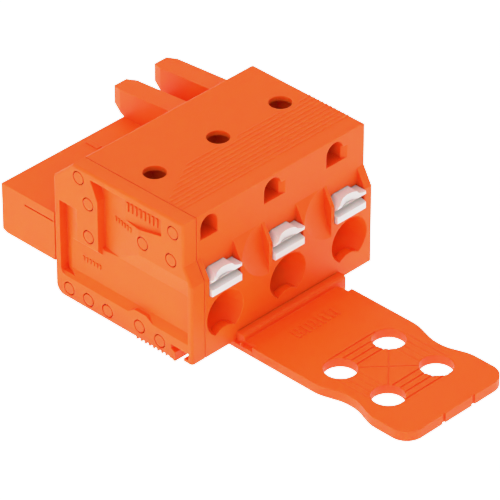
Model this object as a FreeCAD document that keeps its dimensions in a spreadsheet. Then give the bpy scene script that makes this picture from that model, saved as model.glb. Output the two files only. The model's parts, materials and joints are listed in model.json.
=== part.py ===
"""Three-pole pluggable wire connector with push-buttons and a strain relief plate.

Design frame, in millimetres: +X runs across the poles with the end plate at -X, +Y runs from the
wire side to the mating side with y = 0 on the lower front face, and +Z is up from the resting plane.
Every sub-part is then shifted along Y so that the origin is the bottom centre of the whole part.
"""
import FreeCAD, Part

import math
import os
import re

import Sketcher

POLES = 3
BOTTOM_RIBS = 9
TOP_RIBS = 10
INVALID_STATES = ("Invalid", "Error")

DIMENSIONS = {
    # overall
    "body_width": 21.95,
    "front_lip_z": 0.6,
    "body_floor_z": 0.15,
    "kink_low_z": 8.45,
    "kink_high_z": 10.2,
    "kink_depth": 0.95,
    "top_z": 14.45,
    "top_rear_y": 14.21,
    "rear_y": 16.64,
    "rear_top_z": 12.24,
    "rear_corner_round": 0.2,
    "rear_edge_round": 0.3,
    # poles
    "pole_pitch": 7.62,
    "first_pole_x": -6.985,
    # mating block
    "block_end_y": 23.2,
    "block_low_z": 3.4,
    "block_high_z": 8.33,
    "block_side_gap": 0.02,
    "block_chamfer_run": 0.5,
    "block_chamfer_rise": 0.22,
    "slit_front_y": 16.74,
    "slit_rear_y": 20.35,
    "slit_z": 7.38,
    "slit_width": 0.16,
    "slit_depth": 0.3,
    "ridge_x": -1.2,
    "ridge_width": 0.6,
    "ridge_front_y": 21.1,
    "ridge_rear_y": 22.6,
    "ridge_height": 0.1,
    # latch fingers
    "finger_reach": 24.6,
    "finger_width": 2.15,
    "finger_first_x": 3.83,
    "finger_second_x": 8.825,
    "finger_wall_z": 11.54,
    "finger_tip_high_z": 10.85,
    "finger_tip_low_z": 9.07,
    "finger_taper": 0.95,
    "finger_inner_taper": 0.25,
    "finger_outer_taper": 0.43,
    # T-slot for the strain relief plate
    "slot_lip_front_y": 1.0,
    "slot_lip_rear_y": 2.1,
    "slot_front_y": 0.46,
    "slot_rear_y": 2.55,
    "slot_low_z": 0.87,
    "slot_chamfer_z": 1.15,
    "slot_high_z": 1.57,
    # grip ribs
    "rib_pitch": 0.5,
    "rib_width": 0.26,
    "rib_top_width": 0.14,
    "rib_height": 0.05,
    "rib_start_y": 2.75,
    "rib_inset": 0.1,
    "rib_right_inset": 0.12,
    "rib_clear_radius": 1.6,
    "rib_fan_front_y": 4.4,
    "rib_fan_rear_y": 7.6,
    "rib_fan_x": -3.6,
    # wire entries
    "entry_z": 4.13,
    "entry_radius": 2.2,
    "entry_chord_z": 2.35,
    "entry_taper": 17.0,
    "entry_taper_depth": 2.4,
    "bore_radius": 1.45,
    "bump_width": 1.1,
    "bump_height": 0.34,
    "bump_length": 0.8,
    # push-button seats
    "seat_half_width": 1.9,
    "seat_low_z": 6.6,
    "passage_half_width": 1.86,
    "passage_high_z": 8.95,
    "chamber_front_y": 3.2,
    # contact chambers
    "chamber_half_width": 1.95,
    "chamber_step_y": 12.75,
    "chamber_end_y": 22.2,
    "chamber_low_z": 2.2,
    "chamber_high_z": 9.2,
    "contact_low_z": 4.2,
    "contact_high_z": 7.6,
    "pin_half_width": 1.1,
    "pin_half_height": 0.8,
    "pin_z": 5.9,
    "pin_lead": 0.35,
    # test openings
    "test_hole_y": 8.32,
    "test_hole_radius": 1.05,
    "arch_offset": 0.95,
    "arch_radius": 1.03,
    "arch_low_z": 11.95,
    "arch_spring_z": 13.08,
    "arch_depth": 5.5,
    "arch_flare": 0.55,
    "arch_flare_depth": 0.28,
    "test_wall": 0.5,
    "test_chamber_half": 1.55,
    "test_chamber_front_y": 6.95,
    "test_chamber_rear_y": 10.2,
    # hollows between the poles
    "hollow_end": 2.27,
    "hollow_low_z": 5.5,
    "hollow_high_z": 10.25,
    "hollow_bow": 0.3,
    "hollow_swing": 6.0,
    "hollow_turn": 50.0,
    # end plate
    "plate_thickness": 1.6,
    "plate_round": 0.25,
    "seam_chamfer": 0.1,
    "plate_corner": 1.0,
    "peg_radius": 0.54,
    "peg_hole_radius": 0.67,
    "field_rear_y": 15.95,
    "field_front_y": 0.5,
    "field_low_z": 2.45,
    "field_wall_rise": 0.75,
    "field_depth": 0.5,
    "field_soft_low_z": 7.0,
    "field_soft_high_z": 8.95,
    "rear_field_high_z": 10.0,
    "rear_field_depth": 0.85,
    "spine_rear_y": 13.8,
    "spine_front_y": 11.25,
    "spine_soft_low_z": 6.3,
    "spine_soft_high_z": 6.85,
    "ramp_front_y": 6.3,
    "ramp_low_z": 7.05,
    "ramp_fade": 0.5,
    "ramp_fade_angle": 60.0,
    "ramp_high_z": 11.5,
    "spine_shoulder_z": 11.9,
    "panel_front_y": 3.55,
    "panel_front_z": 12.1,
    "panel_rear_y": 12.12,
    "panel_high_z": 13.82,
    "panel_depth": 0.32,
    "hump_rear_y": 7.75,
    "hump_front_y": 4.7,
    "hump_flat": 0.8,
    "hump_high_z": 2.98,
    "field_corner": 0.6,
    # strain relief plate
    "relief_centre_x": 0.2,
    "relief_half_width": 6.15,
    "relief_waist": 5.42,
    "relief_end_half_width": 6.22,
    "relief_thickness": 0.95,
    "relief_reach": 20.2,
    "relief_corner": 1.7,
    "relief_sweep": 3.6,
    "relief_foot_centre_x": 0.665,
    "relief_foot_half_width": 6.265,
    "relief_shoulder_y": -9.9,
    "relief_waist_y": -12.25,
    "relief_flare_y": -13.75,
    "relief_flare_end_y": -15.95,
    "relief_block_y": 0.87,
    "relief_block_z": 1.42,
    "relief_block_round": 0.3,
    "relief_root_y": 0.6,
    "relief_root_z": 0.5,
    "relief_ramp_z": 0.8,
    "relief_ramp_end_y": 2.6,
    "relief_notch": 0.45,
    "relief_notch_end_y": 2.15,
    "relief_gap": 0.05,
    "relief_rest_gap": 0.02,
    "relief_nick_first_x": -1.55,
    "relief_nick_second_x": 2.1,
    "relief_nick_half": 0.2,
    "relief_nick_depth": 0.16,
    "tie_hole_radius": 1.5,
    "tie_spacing_x": 6.0,
    "tie_spacing_y": 5.5,
    "tie_centre_y": 12.25,
    "tie_rim": 0.06,
    "score_depth": 0.11,
    "score_width": 0.24,
    "score_pitch": 0.71,
    "score_overrun": 0.12,
    "cross_reach": 2.66,
    "cross_depth": 0.07,
    "cross_width": 0.14,
    "side_score_depth": 0.04,
    # push-buttons
    "button_half_width": 1.79,
    "button_front_y": -0.3,
    "button_low_z": 6.66,
    "button_lip_z": 7.33,
    "button_notch_y": 0.4,
    "button_notch_z": 7.52,
    "button_upper_z": 8.2,
    "button_brow_z": 8.66,
    "button_top_z": 8.88,
    "button_flange_y": 3.3,
    "button_flange_end_y": 4.0,
    "button_flange_low_z": 6.3,
    "button_flange_high_z": 9.1,
    "button_nose_y": 5.8,
    "button_nose_low_z": 6.8,
    "button_nose_high_z": 7.4,
    "button_scoop_radius": 2.3,
    "button_scoop_depth": 0.5,
    "button_edge": 0.08,
    "button_step_x": 0.7,
    "button_step": 0.4,
    "button_shoulder_run": 0.75,
    "button_shoulder_drop": 0.6,
    # contact bar
    "bar_half_width": 1.45,
    "bar_gauge": 0.4,
    "bar_front_y": 4.1,
    "bar_low_z": 2.28,
    "bar_riser_y": 12.1,
    "fork_root_y": 14.0,
    "fork_pinch_y": 20.3,
    "fork_end_y": 21.6,
    "fork_root_half": 1.25,
    "fork_pinch_half": 0.75,
    "fork_end_half": 1.15,
    "fork_gauge": 0.35,
    # clamp spring
    "spring_half_width": 1.4,
    "spring_gauge": 0.3,
    "spring_high_z": 8.95,
    "spring_bend_y": 6.8,
    "spring_bend_radius": 1.0,
    "spring_leg_angle": 58.0,
    "spring_tip_z": 2.95,
    "spring_heel_y": 12.3,
    "spring_heel_z": 7.32,
    # steel overspring on the fork
    "clip_gauge": 0.22,
    "clip_start_y": 13.1,
    "clip_length": 4.4,
    "clip_gap": 0.04,
}

# welded pegs that hold the end plate: (y, z) of each peg's axis
PEGS = [
    (13.51, 13.36),
    (12.39, 11.19),
    (2.2, 13.1),
    (5.83, 10.3),
    (2.46, 10.22),
    (12.41, 7.83),
    (14.96, 1.25),
    (12.59, 1.2),
    (10.25, 1.2),
    (6.36, 1.5),
    (3.9, 1.2),
]

for number, (peg_y, peg_z) in enumerate(PEGS, 1):
    DIMENSIONS[f"peg_{number}_y"] = peg_y
    DIMENSIONS[f"peg_{number}_z"] = peg_z

NAMES = re.compile(r"[a-z][a-z_0-9]*[a-z0-9]")
FUNCTIONS = ("sin", "cos", "tan", "sqrt", "deg")

doc = FreeCAD.newDocument("wire_connector")
sheet = doc.addObject("Spreadsheet::Sheet", "Dims")
for row, (alias, number) in enumerate(DIMENSIONS.items(), 1):
    sheet.set(f"A{row}", alias)
    sheet.set(f"B{row}", str(number))
    sheet.setAlias(f"B{row}", alias)
doc.recompute()


def size(alias):
    """Value of one driving dimension, in millimetres or degrees."""
    return float(sheet.get(alias))


def bound(text):
    """The expression with every driving dimension's name pointing at its cell."""

    def cell(match):
        word = match.group(0)
        if word in FUNCTIONS:
            return word
        if word not in DIMENSIONS:
            raise ValueError(f"unknown dimension {word}")
        return f"Dims.{word}"

    return NAMES.sub(cell, text)


def new_body(label):
    """Empty body whose Y place centres the whole part on the origin."""
    body = doc.addObject("PartDesign::Body", label)
    body.Label = label
    body.setExpression("Placement.Base.y", bound("(relief_reach - finger_reach) / 2"))
    return body


def new_sketch(body, name, role, level="0"):
    """Sketch on one of the body's own origin planes, lifted along its normal by an expression."""
    sketch = body.newObject("Sketcher::SketchObject", name)
    plane = next(item for item in body.Origin.OriginFeatures if item.Role == role)
    sketch.AttachmentSupport = [(plane, "")]
    sketch.MapMode = "FlatFace"
    sketch.setExpression("AttachmentOffset.Base.z", bound(level))
    return sketch


def fix_point(sketch, geometry, point, place):
    """Tie one point to the sketch origin by two expressions."""
    for kind, text in zip(("DistanceX", "DistanceY"), place):
        index = sketch.addConstraint(Sketcher.Constraint(kind, -1, 1, geometry, point, 1.0))
        sketch.setExpression(f"Constraints[{index}]", bound(text))


def polygon(sketch, corners):
    """Closed outline with straight sides through corners given as pairs of expressions."""
    count = len(corners)
    first = sketch.GeometryCount
    turns = [2 * math.pi * step / count for step in range(count)]
    start = [FreeCAD.Vector(10 * math.cos(turn), 10 * math.sin(turn), 0) for turn in turns]
    for step in range(count):
        sketch.addGeometry(Part.LineSegment(start[step], start[(step + 1) % count]), False)
    for step in range(count):
        following = first + (step + 1) % count
        sketch.addConstraint(Sketcher.Constraint("Coincident", first + step, 2, following, 1))
    for step, place in enumerate(corners):
        fix_point(sketch, first + step, 1, place)


def rectangle(sketch, low_x, high_x, low_y, high_y):
    """Closed rectangle between expressions."""
    polygon(sketch, [(low_x, low_y), (high_x, low_y), (high_x, high_y), (low_x, high_y)])


def circle(sketch, centre, radius):
    """Circle with its centre and radius bound to expressions."""
    geometry = sketch.addGeometry(Part.Circle(FreeCAD.Vector(1, 1, 0), FreeCAD.Vector(0, 0, 1), 1.0), False)
    fix_point(sketch, geometry, 3, centre)
    index = sketch.addConstraint(Sketcher.Constraint("Radius", geometry, 1.0))
    sketch.setExpression(f"Constraints[{index}]", bound(radius))


def checked(body, feature, grows):
    """Recompute, and stop unless the feature changed the body's volume the way it should."""
    before = getattr(body, "KnownVolume", 0.0)
    doc.recompute()
    after = body.Shape.Volume
    if abs(after - before) < 1e-6 or (grows is not None and (after > before) != grows):
        raise RuntimeError(f"{body.Label}: {feature.Name} changed the volume from {before} to {after}")
    if not hasattr(body, "KnownVolume"):
        body.addProperty("App::PropertyFloat", "KnownVolume")
    body.KnownVolume = after
    return feature


def pad(body, sketch, length):
    """Material added along the sketch's normal."""
    feature = body.newObject("PartDesign::Pad", f"{sketch.Name}_pad")
    feature.Profile = sketch
    feature.setExpression("Length", bound(length))
    return checked(body, feature, True)


def pocket(body, sketch, length, taper=None):
    """Material removed against the sketch's normal, narrowing by an optional taper angle."""
    feature = body.newObject("PartDesign::Pocket", f"{sketch.Name}_cut")
    feature.Profile = sketch
    feature.setExpression("Length", bound(length))
    if taper:
        feature.setExpression("TaperAngle", bound(taper))
    return checked(body, feature, False)


def edge_names(shape, wanted):
    """Names of the edges whose two ends and middle satisfy a test."""
    names = []
    for number, edge in enumerate(shape.Edges, 1):
        middle = edge.valueAt((edge.FirstParameter + edge.LastParameter) / 2)
        points = [vertex.Point for vertex in edge.Vertexes] + [middle]
        if all(wanted(point) for point in points):
            names.append(f"Edge{number}")
    return names


def dress(body, kind, name, wanted, amount):
    """Fillet or chamfer on the edges of the body's tip that satisfy a test, in the body's own frame."""
    tip = body.Tip
    feature = body.newObject(f"PartDesign::{kind}", name)
    feature.Base = (tip, edge_names(tip.Shape, wanted))
    feature.setExpression("Radius" if kind == "Fillet" else "Size", bound(amount))
    return checked(body, feature, None)


def near(value, target, slack=1e-3):
    """True where two lengths agree."""
    return abs(value - target) < slack


def pole_x(pole):
    """Expression for the X of a pole's centre plane."""
    return f"(first_pole_x + {pole} * pole_pitch)"


SIDE_OUTLINE = [
    ("0", "front_lip_z"),
    ("0", "kink_low_z"),
    ("kink_depth", "kink_high_z"),
    ("kink_depth", "top_z"),
    ("top_rear_y", "top_z"),
    ("rear_y", "rear_top_z"),
    ("rear_y", "body_floor_z"),
    ("slot_rear_y", "body_floor_z"),
    ("slot_lip_rear_y", "0"),
    ("slot_lip_rear_y", "front_lip_z"),
]

SLOT_OUTLINE = [
    ("slot_lip_front_y", "-1"),
    ("slot_lip_front_y", "slot_low_z"),
    ("slot_front_y", "slot_low_z"),
    ("slot_front_y", "slot_high_z"),
    ("slot_rear_y", "slot_high_z"),
    ("slot_rear_y", "slot_chamfer_z"),
    ("slot_lip_rear_y", "slot_low_z"),
    ("slot_lip_rear_y", "-1"),
]


def cut_slot(body, right, length):
    """The T-slot under the front edge, which runs the whole width."""
    sketch = new_sketch(body, f"{body.Label}_slot", "YZ_Plane", right)
    polygon(sketch, SLOT_OUTLINE)
    pocket(body, sketch, length)


def add_mating_block(body):
    """The plug face behind the body, with its lower rear edge chamfered."""
    left = "plate_thickness - body_width / 2"
    sketch = new_sketch(body, "block", "XY_Plane", "block_low_z")
    corners = [
        ("block_side_gap - body_width / 2", "rear_y + 0.02"),
        (left, "rear_y + 0.02"),
        (left, "top_rear_y"),
        ("body_width / 2", "top_rear_y"),
        ("body_width / 2", "block_end_y"),
        ("block_side_gap - body_width / 2", "block_end_y"),
    ]
    polygon(sketch, corners)
    pad(body, sketch, "block_high_z - block_low_z")
    sketch = new_sketch(body, "block_chamfer", "YZ_Plane", "body_width / 2")
    corners = [
        ("block_end_y - block_chamfer_run", "block_low_z"),
        ("block_end_y", "block_low_z + block_chamfer_rise"),
        ("block_end_y", "block_low_z - 1"),
        ("block_end_y - block_chamfer_run", "block_low_z - 1"),
    ]
    polygon(sketch, corners)
    pocket(body, sketch, "body_width")
    sketch = new_sketch(body, "block_slit", "YZ_Plane", "block_side_gap + slit_depth - body_width / 2")
    low = "slit_z - slit_width / 2"
    rectangle(sketch, "slit_front_y", "slit_rear_y", low, "slit_z + slit_width / 2")
    pocket(body, sketch, "slit_depth")
    sketch = new_sketch(body, "block_ridge", "XY_Plane", "block_high_z")
    right = "ridge_x + ridge_width / 2"
    rectangle(sketch, "ridge_x - ridge_width / 2", right, "ridge_front_y", "ridge_rear_y")
    pad(body, sketch, "ridge_height")


def add_fingers(body):
    """Two latch fingers that stand on the block and reach past it."""
    sketch = new_sketch(body, "fingers", "XY_Plane", "block_high_z - 0.5")
    for left in ("finger_first_x", "finger_second_x"):
        right = f"{left} + finger_width"
        corners = [
            (left, "top_rear_y"),
            (right, "top_rear_y"),
            (right, "finger_reach - finger_taper"),
            (f"{right} - finger_outer_taper", "finger_reach"),
            (f"{left} + finger_inner_taper", "finger_reach"),
            (left, "finger_reach - finger_taper"),
        ]
        polygon(sketch, corners)
    pad(body, sketch, "finger_wall_z - block_high_z + 0.5")
    sketch = new_sketch(body, "finger_slopes", "YZ_Plane", "body_width / 2")
    upper = [
        ("rear_y", "finger_wall_z"),
        ("finger_reach + 1", "finger_tip_high_z - (finger_wall_z - finger_tip_high_z) / 7.76"),
        ("finger_reach + 1", "finger_wall_z + 1"),
        ("rear_y", "finger_wall_z + 1"),
    ]
    lower = [
        ("block_end_y", "block_high_z"),
        ("finger_reach", "finger_tip_low_z"),
        ("finger_reach + 1", "finger_tip_low_z"),
        ("finger_reach + 1", "block_low_z"),
        ("block_end_y", "block_low_z"),
    ]
    polygon(sketch, upper)
    polygon(sketch, lower)
    pocket(body, sketch, "body_width")


def add_ribs(body, name, count, face_z, rise, left, right):
    """Fine grip ribs across the width from left to right, as trapezoids on a face."""
    sketch = new_sketch(body, name, "YZ_Plane", left)
    for number in range(count):
        centre = f"rib_start_y + {number} * rib_pitch"
        corners = [
            (f"{centre} - rib_width / 2", f"{face_z} - ({rise}) * 0.5"),
            (f"{centre} + rib_width / 2", f"{face_z} - ({rise}) * 0.5"),
            (f"{centre} + rib_top_width / 2", f"{face_z} + ({rise})"),
            (f"{centre} - rib_top_width / 2", f"{face_z} + ({rise})"),
        ]
        polygon(sketch, corners)
    pad(body, sketch, f"{right} - ({left})")


def clear_top_ribs(body):
    """Plain areas round the test holes and behind the slanting left ends of the top ribs."""
    sketch = new_sketch(body, "rib_clearances", "XY_Plane", "top_z + rib_height")
    for pole in range(1, POLES):
        circle(sketch, (pole_x(pole), "test_hole_y"), "rib_clear_radius")
    pocket(body, sketch, "rib_height")
    sketch = new_sketch(body, "rib_fan", "XY_Plane", "top_z + rib_height")
    left = "plate_thickness - body_width / 2"
    polygon(sketch, [(left, "rib_fan_front_y"), ("rib_fan_x", "rib_fan_rear_y"), (left, "rib_fan_rear_y")])
    pocket(body, sketch, "rib_height")


def cut_wire_entries(body):
    """Round funnels with a flat floor, each leading to a bore, and a small bump on each floor."""
    sketch = new_sketch(body, "funnels", "XZ_Plane")
    for pole in range(POLES):
        circle(sketch, (pole_x(pole), "entry_z"), "entry_radius")
    pocket(body, sketch, "entry_taper_depth", "-entry_taper")
    sketch = new_sketch(body, "bores", "XZ_Plane")
    for pole in range(POLES):
        circle(sketch, (pole_x(pole), "entry_z"), "bore_radius")
    pocket(body, sketch, "chamber_front_y + 0.1")
    sketch = new_sketch(body, "entry_bumps", "XZ_Plane", "-bump_length")
    for pole in range(POLES):
        middle = pole_x(pole)
        corners = [
            (f"{middle} - bump_width", "entry_z - entry_radius - 0.1"),
            (f"{middle} + bump_width", "entry_z - entry_radius - 0.1"),
            (f"{middle} + bump_width", "entry_chord_z"),
            (f"{middle} + bump_width / 3", "entry_chord_z + bump_height"),
            (f"{middle} - bump_width / 3", "entry_chord_z + bump_height"),
            (f"{middle} - bump_width", "entry_chord_z"),
        ]
        polygon(sketch, corners)
    pad(body, sketch, "bump_length")


def cut_button_seats(body):
    """Open seats through the kink and the guide passages behind them."""
    sketch = new_sketch(body, "seats", "XZ_Plane", "1")
    for pole in range(POLES):
        middle = pole_x(pole)
        left = f"{middle} - seat_half_width"
        right = f"{middle} + seat_half_width"
        rectangle(sketch, left, right, "seat_low_z", "kink_high_z + 0.5")
    pocket(body, sketch, "kink_depth + 1")
    sketch = new_sketch(body, "passages", "XZ_Plane", "0")
    for pole in range(POLES):
        middle = pole_x(pole)
        left = f"{middle} - passage_half_width"
        right = f"{middle} + passage_half_width"
        corners = [
            (left, "seat_low_z"),
            (right, "seat_low_z"),
            (right, "passage_high_z - button_step"),
            (f"{middle} + button_step_x + button_step", "passage_high_z - button_step"),
            (f"{middle} + button_step_x", "passage_high_z"),
            (f"{left} + button_shoulder_run", "passage_high_z"),
            (left, "passage_high_z - button_shoulder_drop"),
        ]
        polygon(sketch, corners)
    pocket(body, sketch, "chamber_front_y + 0.1")


def cut_chambers(body):
    """Stepped contact chamber of each pole and the pin opening in the mating face."""
    stages = (
        ("clamp_chambers", "chamber_front_y", "chamber_step_y", "chamber_low_z", "chamber_high_z"),
        ("contact_chambers", "chamber_step_y - 0.1", "chamber_end_y", "contact_low_z", "contact_high_z"),
    )
    for name, start, end, low, high in stages:
        sketch = new_sketch(body, name, "XZ_Plane", f"-({start})")
        for pole in range(POLES):
            middle = pole_x(pole)
            left = f"{middle} - chamber_half_width"
            right = f"{middle} + chamber_half_width"
            rectangle(sketch, left, right, low, high)
        pocket(body, sketch, f"{end} - ({start})")
    openings = (
        ("pin_openings", "chamber_end_y - 0.1", "0"),
        ("pin_leads", "block_end_y - pin_lead", "pin_lead"),
    )
    for name, start, grow in openings:
        sketch = new_sketch(body, name, "XZ_Plane", f"-({start})")
        low = f"pin_z - pin_half_height - {grow}"
        high = f"pin_z + pin_half_height + {grow}"
        for pole in range(POLES):
            middle = pole_x(pole)
            left = f"{middle} - pin_half_width - {grow}"
            right = f"{middle} + pin_half_width + {grow}"
            rectangle(sketch, left, right, low, high)
        pocket(body, sketch, f"block_end_y - ({start})")


def cut_test_openings(body):
    """Round holes in the top over open chambers, and arched openings in the upper front face."""
    sketch = new_sketch(body, "test_holes", "XY_Plane", "top_z")
    for pole in range(POLES):
        circle(sketch, (pole_x(pole), "test_hole_y"), "test_hole_radius")
    pocket(body, sketch, "test_wall + 0.1")
    sketch = new_sketch(body, "test_chambers", "XY_Plane", "top_z - test_wall")
    for pole in range(POLES):
        left = f"{pole_x(pole)} - test_chamber_half"
        right = f"{pole_x(pole)} + test_chamber_half"
        rectangle(sketch, left, right, "test_chamber_front_y", "test_chamber_rear_y")
    pocket(body, sketch, "top_z - test_wall - chamber_high_z + 0.1")
    sketch = new_sketch(body, "arch_feet", "XZ_Plane", "-kink_depth")
    for pole in range(POLES):
        middle = f"({pole_x(pole)} - arch_offset)"
        left = f"{middle} - arch_radius"
        right = f"{middle} + arch_radius"
        rectangle(sketch, left, right, "arch_low_z", "arch_spring_z")
    pocket(body, sketch, "arch_depth")
    sketch = new_sketch(body, "arch_crowns", "XZ_Plane", "-kink_depth")
    for pole in range(POLES):
        circle(sketch, (f"{pole_x(pole)} - arch_offset", "arch_spring_z"), "arch_radius")
    pocket(body, sketch, "arch_depth")
    sketch = new_sketch(body, "arch_flares", "XY_Plane", "arch_spring_z + 0.15")
    for pole in range(1, POLES):
        edge = f"{pole_x(pole)} - arch_offset + arch_radius"
        corners = [
            (f"{edge} - 0.1", "kink_depth - 0.1"),
            (f"{edge} + arch_flare", "kink_depth - 0.1"),
            (f"{edge} + arch_flare", "kink_depth"),
            (edge, "kink_depth + arch_flare_depth"),
            (f"{edge} - 0.1", "kink_depth + arch_flare_depth"),
        ]
        polygon(sketch, corners)
    pocket(body, sketch, "arch_spring_z + 0.15 - arch_low_z")


def cut_hollows(body):
    """Scooped hollows between neighbouring poles: a bowed outline swung about an upright axis."""
    facets = 12
    for pole in range(POLES - 1):
        right = f"{pole_x(pole)} + pole_pitch - hollow_end"
        sketch = new_sketch(body, f"hollow_{pole + 1}", "YZ_Plane", right)
        sketch.setExpression("AttachmentOffset.Base.x", bound("-hollow_swing"))
        corners = [("hollow_swing - 1", "hollow_high_z"), ("hollow_swing - 1", "hollow_low_z")]
        for step in range(facets + 1):
            part = step / facets
            bow = 4 * part * (1 - part)
            along = f"hollow_swing + {part:.4f} * kink_depth + {bow:.4f} * hollow_bow"
            corners.append((along, f"hollow_low_z + {part:.4f} * (hollow_high_z - hollow_low_z)"))
        polygon(sketch, corners)
        feature = body.newObject("PartDesign::Groove", f"hollow_{pole + 1}_cut")
        feature.Profile = sketch
        feature.ReferenceAxis = (sketch, ["V_Axis"])
        feature.setExpression("Angle", bound("hollow_turn"))
        checked(body, feature, False)


def add_pegs(body):
    """Welding pegs that stand through the end plate and finish flush with it."""
    sketch = new_sketch(body, "pegs", "YZ_Plane", "-body_width / 2")
    for number in range(1, len(PEGS) + 1):
        circle(sketch, (f"peg_{number}_y", f"peg_{number}_z"), "peg_radius")
    pad(body, sketch, "plate_thickness")


def build_housing():
    """One-piece moulded housing of the three poles."""
    body = new_body("housing")
    sketch = new_sketch(body, "side_profile", "YZ_Plane", "plate_thickness - body_width / 2")
    polygon(sketch, SIDE_OUTLINE)
    pad(body, sketch, "body_width - plate_thickness")
    right_x = size("body_width") / 2
    top_z = size("top_z")
    shoulder_y = size("top_rear_y")
    dress(
        body,
        "Fillet",
        "rear_edge",
        lambda p: near(p.y, shoulder_y) and near(p.z, top_z),
        "rear_edge_round",
    )
    dress(
        body,
        "Fillet",
        "rear_corner",
        lambda p: near(p.x, right_x) and p.y > shoulder_y - 0.5 and p.z > size("rear_top_z") - 1e-3,
        "rear_corner_round",
    )
    add_mating_block(body)
    add_fingers(body)
    left = "plate_thickness + rib_inset - body_width / 2"
    right = "body_width / 2 - rib_right_inset"
    add_ribs(body, "bottom_ribs", BOTTOM_RIBS, "body_floor_z", "-body_floor_z", left, right)
    add_ribs(body, "top_ribs", TOP_RIBS, "top_z", "rib_height", left, right)
    clear_top_ribs(body)
    cut_slot(body, "body_width / 2 + 1", "body_width + 2")
    cut_hollows(body)
    cut_wire_entries(body)
    cut_button_seats(body)
    cut_chambers(body)
    cut_test_openings(body)
    add_pegs(body)
    return body


def cut_fields(body):
    """Recessed fields of the end plate's outer face, round the raised spine, rim and foot band."""
    face = "-body_width / 2"
    fields = (
        ("front_field", "field_front_y", "spine_front_y", "field_soft_low_z", "field_soft_high_z"),
        ("rear_field", "spine_front_y", "field_rear_y", "spine_soft_low_z", "spine_soft_high_z"),
    )
    for name, front, rear, low, high in fields:
        sketch = new_sketch(body, name, "XZ_Plane", f"-{front}")
        corners = [
            (f"{face} - 1", "field_low_z"),
            (face, "field_low_z"),
            (f"{face} + field_depth", "field_low_z + field_wall_rise"),
            (f"{face} + field_depth", low),
            (face, high),
            (f"{face} - 1", high),
        ]
        polygon(sketch, corners)
        pocket(body, sketch, f"{rear} - {front}")
    sketch = new_sketch(body, "rear_ramp", "XY_Plane", "rear_field_high_z")
    deep = f"{face} + rear_field_depth"
    polygon(sketch, [(face, "field_rear_y"), (deep, "field_rear_y"), (face, "spine_rear_y")])
    pocket(body, sketch, "rear_field_high_z - field_low_z - 0.3")
    ramp = [
        (f"{face} - 2", "spine_front_y"),
        (deep, "spine_front_y"),
        (face, "ramp_front_y"),
        (f"{face} - 2", "ramp_front_y"),
    ]
    sketch = new_sketch(body, "front_ramp", "XY_Plane", "ramp_high_z")
    polygon(sketch, ramp)
    pocket(body, sketch, "ramp_high_z - ramp_low_z")
    sketch = new_sketch(body, "front_ramp_fade", "XY_Plane", "ramp_low_z")
    polygon(sketch, ramp)
    pocket(body, sketch, "ramp_fade", "-ramp_fade_angle")
    slope = "(rear_field_depth / (spine_front_y - ramp_front_y))"
    sketch = new_sketch(body, "label_panel", "XY_Plane", "panel_high_z")
    corners = [
        (f"{face} - 2", "panel_rear_y"),
        (f"{face} + (panel_rear_y - ramp_front_y) * {slope}", "panel_rear_y"),
        (f"{face} + panel_depth", f"ramp_front_y + panel_depth / {slope}"),
        (f"{face} + panel_depth", "panel_front_y"),
        (f"{face} - 2", "panel_front_y"),
    ]
    polygon(sketch, corners)
    pocket(body, sketch, "panel_high_z - ramp_high_z")


def fill_fields(body):
    """Flush areas that stand in the fields: spine shoulder, panel foot, peg hump and field corner."""
    sketch = new_sketch(body, "flush_areas", "YZ_Plane", "-body_width / 2")
    shoulder = [
        ("spine_front_y", "ramp_high_z - 0.1"),
        ("spine_front_y", "spine_shoulder_z"),
        ("panel_rear_y", "panel_high_z"),
        ("panel_rear_y + 0.1", "panel_high_z"),
        ("panel_rear_y + 0.1", "ramp_high_z - 0.1"),
    ]
    panel_foot = [
        ("panel_front_y - 0.1", "ramp_high_z - 0.1"),
        ("panel_front_y - 0.1", "panel_front_z"),
        ("panel_front_y", "panel_front_z"),
        ("ramp_front_y", "ramp_high_z"),
        ("ramp_front_y", "ramp_high_z - 0.1"),
    ]
    hump = [
        ("hump_rear_y", "field_low_z - 0.1"),
        ("hump_rear_y", "field_low_z"),
        ("hump_rear_y - hump_flat", "hump_high_z"),
        ("hump_front_y + hump_flat", "hump_high_z"),
        ("hump_front_y", "field_low_z"),
        ("hump_front_y", "field_low_z - 0.1"),
    ]
    corner = [
        ("field_rear_y + 0.1", "field_low_z - 0.1"),
        ("field_rear_y + 0.1", "field_low_z + field_corner"),
        ("field_rear_y", "field_low_z + field_corner"),
        ("field_rear_y - 0.3 * field_corner", "field_low_z + 0.3 * field_corner"),
        ("field_rear_y - field_corner", "field_low_z"),
        ("field_rear_y - field_corner", "field_low_z - 0.1"),
    ]
    for outline in (shoulder, panel_foot, hump, corner):
        polygon(sketch, outline)
    pad(body, sketch, "rear_field_depth + 0.2")


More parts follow.
